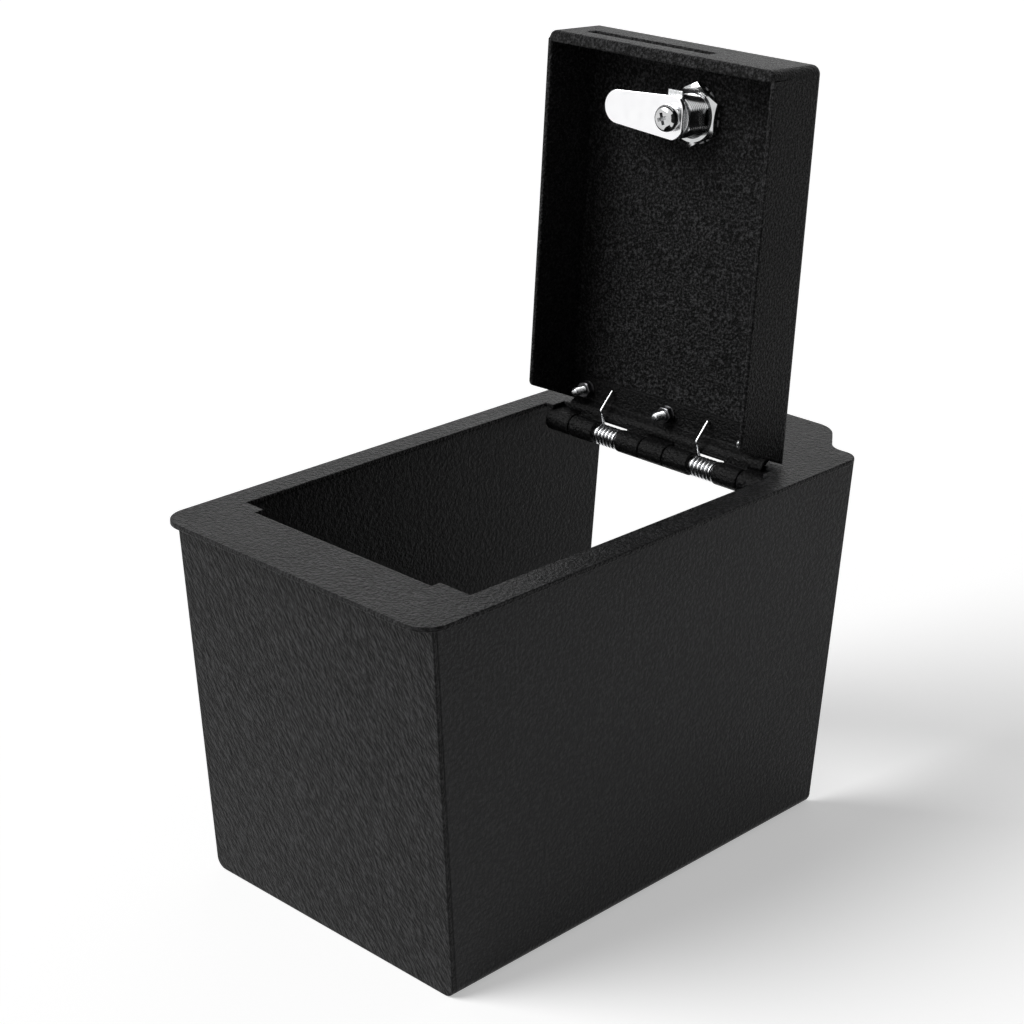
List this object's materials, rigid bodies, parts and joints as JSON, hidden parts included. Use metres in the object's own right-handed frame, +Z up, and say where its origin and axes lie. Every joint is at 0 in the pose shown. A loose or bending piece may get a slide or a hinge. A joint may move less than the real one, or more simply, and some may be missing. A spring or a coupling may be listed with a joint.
{
  "type": "console safe",
  "caption": "Open-topped steel box with a flanged deck, a spring-opened recessed lid on a knuckle hinge and a cam lock that catches under the deck.",
  "frame": {"origin": "on the ground, at the middle of the deck's width and length, which is the bottom centre of the bounding box", "axes": "+Z up, +X to the right seen from the lock end, +Y from the lock end to the hinge end"},
  "size_m": [0.16, 0.2904, 0.3486],
  "materials": {
    "textured_coat": "black wrinkle powder coat, matt",
    "hinge_coat": "smooth satin black",
    "zinc": "bright zinc plate",
    "spring_wire": "bright drawn spring wire",
    "lock_chrome": "polished nickel chrome",
    "lock_steel": "polished plated steel",
    "brass": "turned brass, nickel plated face"
  },
  "bodies": {
    "safe": {"side_wrap": "textured_coat", "front_wall": "textured_coat", "top_deck": "textured_coat", "hinge_fixed_leaf": "hinge_coat", "hinge_pin": "zinc", "torsion_spring_left": "spring_wire", "torsion_spring_right": "spring_wire"},
    "lid": {"lid_shell": "textured_coat", "lid_hinge_leaf": "hinge_coat", "hinge_bolts": "zinc", "hinge_washers": "zinc", "hinge_nuts": "zinc", "lock_housing": "lock_chrome", "lock_tooth_washer": "lock_chrome", "lock_nut": "lock_chrome"},
    "plug": {"lock_plug": "brass", "lock_wafers": "brass", "stop_washer": "lock_steel", "lock_cam": "lock_steel", "cam_lock_washer": "lock_chrome", "cam_screw": "lock_chrome"}
  },
  "joints": [
    {"name": "lid_hinge", "type": "hinge", "parent": "safe", "child": "lid", "pos_m": [0, 0.07655, 0.164], "axis": [1, 0, 0], "range_deg": [0, 93.5], "stiffness_Nm_per_rad": 0.35, "springref_deg": -34.38, "deforming": ["torsion_spring_left", "torsion_spring_right"]},
    {"name": "lock_turn", "type": "hinge", "parent": "lid", "child": "plug", "pos_m": [0, 0.0981, 0.31657], "axis": [0, 0.9981, -0.061], "range_deg": [0, 90]}
  ]
}
